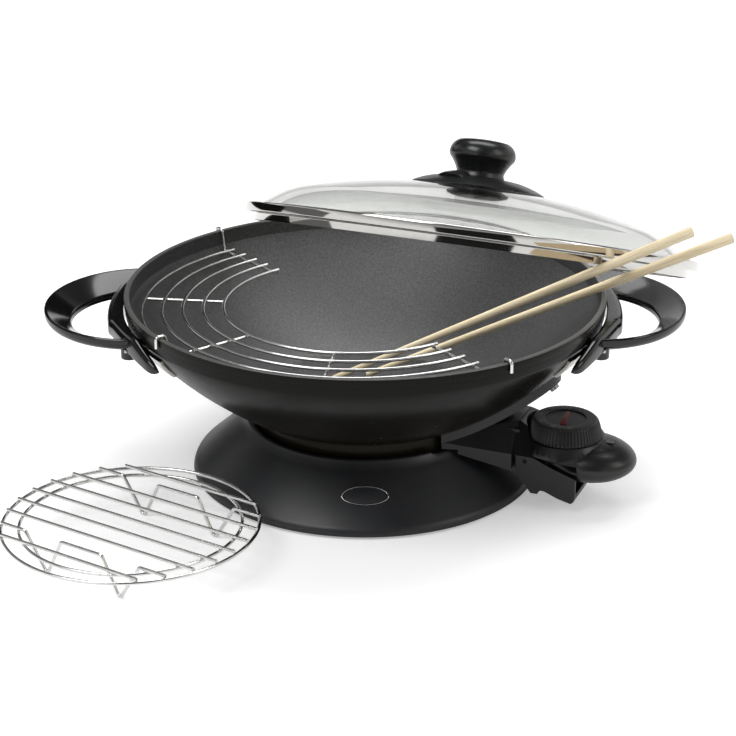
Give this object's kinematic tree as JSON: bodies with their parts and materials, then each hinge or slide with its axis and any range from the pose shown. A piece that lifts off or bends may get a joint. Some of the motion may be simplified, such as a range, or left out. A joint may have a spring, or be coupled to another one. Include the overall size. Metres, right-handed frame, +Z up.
{
  "type": "electric wok",
  "caption": "Electric wok on a black skirt base with loop handles, plug-in heat control, loose glass lid leaning on the rim, tempura rack, steaming rack and chopsticks.",
  "frame": {"origin": "on the table surface under the centre of the base", "axes": "+Z up, -Y towards the viewer and the oval badge, handles along X, heat control at the front right"},
  "size_m": [0.5104, 0.5312, 0.2143],
  "materials": {
    "black_plastic": "satin black",
    "screw_steel": "zinc plated",
    "foot_rubber": "matt",
    "badge_metal": "brushed, blank",
    "nonstick_coating": "satin non-stick coating on cast metal",
    "element_metal": "sheathed",
    "contact_brass": "plain",
    "handle_plastic": "semi-gloss black",
    "bracket_steel": "plain",
    "control_plastic": "satin black",
    "block_plastic": "heat-proof moulding",
    "lens_plastic": "smoked red",
    "gland_rubber": "matt",
    "polished_steel": "polished",
    "lid_glass": "clear tempered",
    "washer_rubber": "matt",
    "rack_chrome": "bright wire",
    "stick_wood": "plain pale wood"
  },
  "bodies": {
    "base": {"base_shell": "black_plastic", "base_bottom_cover": "black_plastic", "base_screws": "screw_steel", "rubber_feet": "foot_rubber", "badge_plate": "badge_metal"},
    "wok": {"wok_pan": "nonstick_coating", "heating_element": "element_metal", "terminal_pins": "contact_brass", "probe_sleeve": "element_metal", "terminal_guard": "black_plastic", "guard_screw": "screw_steel", "handle_left": "handle_plastic", "handle_right": "handle_plastic", "handle_bracket_left": "bracket_steel", "handle_bracket_right": "bracket_steel", "handle_screws": "screw_steel"},
    "controller": {"controller_lower_shell": "control_plastic", "controller_upper_shell": "control_plastic", "contact_block": "block_plastic", "contact_sleeves": "contact_brass", "probe_rod": "bracket_steel", "thermostat_switch": "block_plastic", "indicator_lens": "lens_plastic", "cord_gland": "gland_rubber", "shell_screws": "screw_steel", "ejector_pin": "screw_steel", "ejector_spring": "screw_steel"},
    "dial": {"dial_knob": "control_plastic", "dial_spindle": "screw_steel"},
    "ejector": {"ejector_lever": "control_plastic"},
    "lid": {"lid_ring": "polished_steel", "lid_glass": "lid_glass", "lid_washer": "washer_rubber", "lid_cup": "polished_steel", "knob_skirt": "handle_plastic", "lid_knob": "handle_plastic", "knob_insert": "contact_brass", "knob_screw": "screw_steel"},
    "tempura_rack": {"tempura_rack": "rack_chrome"},
    "steam_rack": {"steam_rack_rings": "rack_chrome", "steam_rack_bars": "rack_chrome", "steam_rack_legs_front": "rack_chrome", "steam_rack_legs_back": "rack_chrome"},
    "chopstick_1": {"chopstick_1": "stick_wood"},
    "chopstick_2": {"chopstick_2": "stick_wood"}
  },
  "joints": [
    {"name": "wok_lift", "type": "slide", "parent": "base", "child": "wok", "axis": [0, 0, 1], "range_m": [0, 0.15]},
    {"name": "controller_pull", "type": "slide", "parent": "wok", "child": "controller", "axis": [0.9272, -0.3746, 0], "range_m": [0, 0.09]},
    {"name": "dial_turn", "type": "hinge", "parent": "controller", "child": "dial", "pos_m": [0.14371, -0.05806, 0.0504], "axis": [0, 0, 1], "range_deg": [-270, 0]},
    {"name": "ejector_press", "type": "hinge", "parent": "controller", "child": "ejector", "pos_m": [0.12424, -0.0502, 0.036], "axis": [-0.3746, -0.9272, 0], "range_deg": [0, 3], "stiffness_Nm_per_rad": 1, "springref_deg": -2.86},
    {"name": "lid_lift", "type": "slide", "parent": "wok", "child": "lid", "axis": [0, 0, 1], "range_m": [0, 0.2]},
    {"name": "tempura_rack_lift", "type": "slide", "parent": "wok", "child": "tempura_rack", "axis": [0, 0, 1], "range_m": [0, 0.025]},
    {"name": "steam_rack_slide", "type": "slide", "parent": "base", "child": "steam_rack", "axis": [-0.7295, -0.6839, 0], "range_m": [0, 0.15]},
    {"name": "chopstick_1_pull", "type": "slide", "parent": "wok", "child": "chopstick_1", "axis": [0.8495, -0.2359, 0.4719], "range_m": [0, 0.25]},
    {"name": "chopstick_2_pull", "type": "slide", "parent": "wok", "child": "chopstick_2", "axis": [0.866, -0.2274, 0.4453], "range_m": [0, 0.25]}
  ]
}
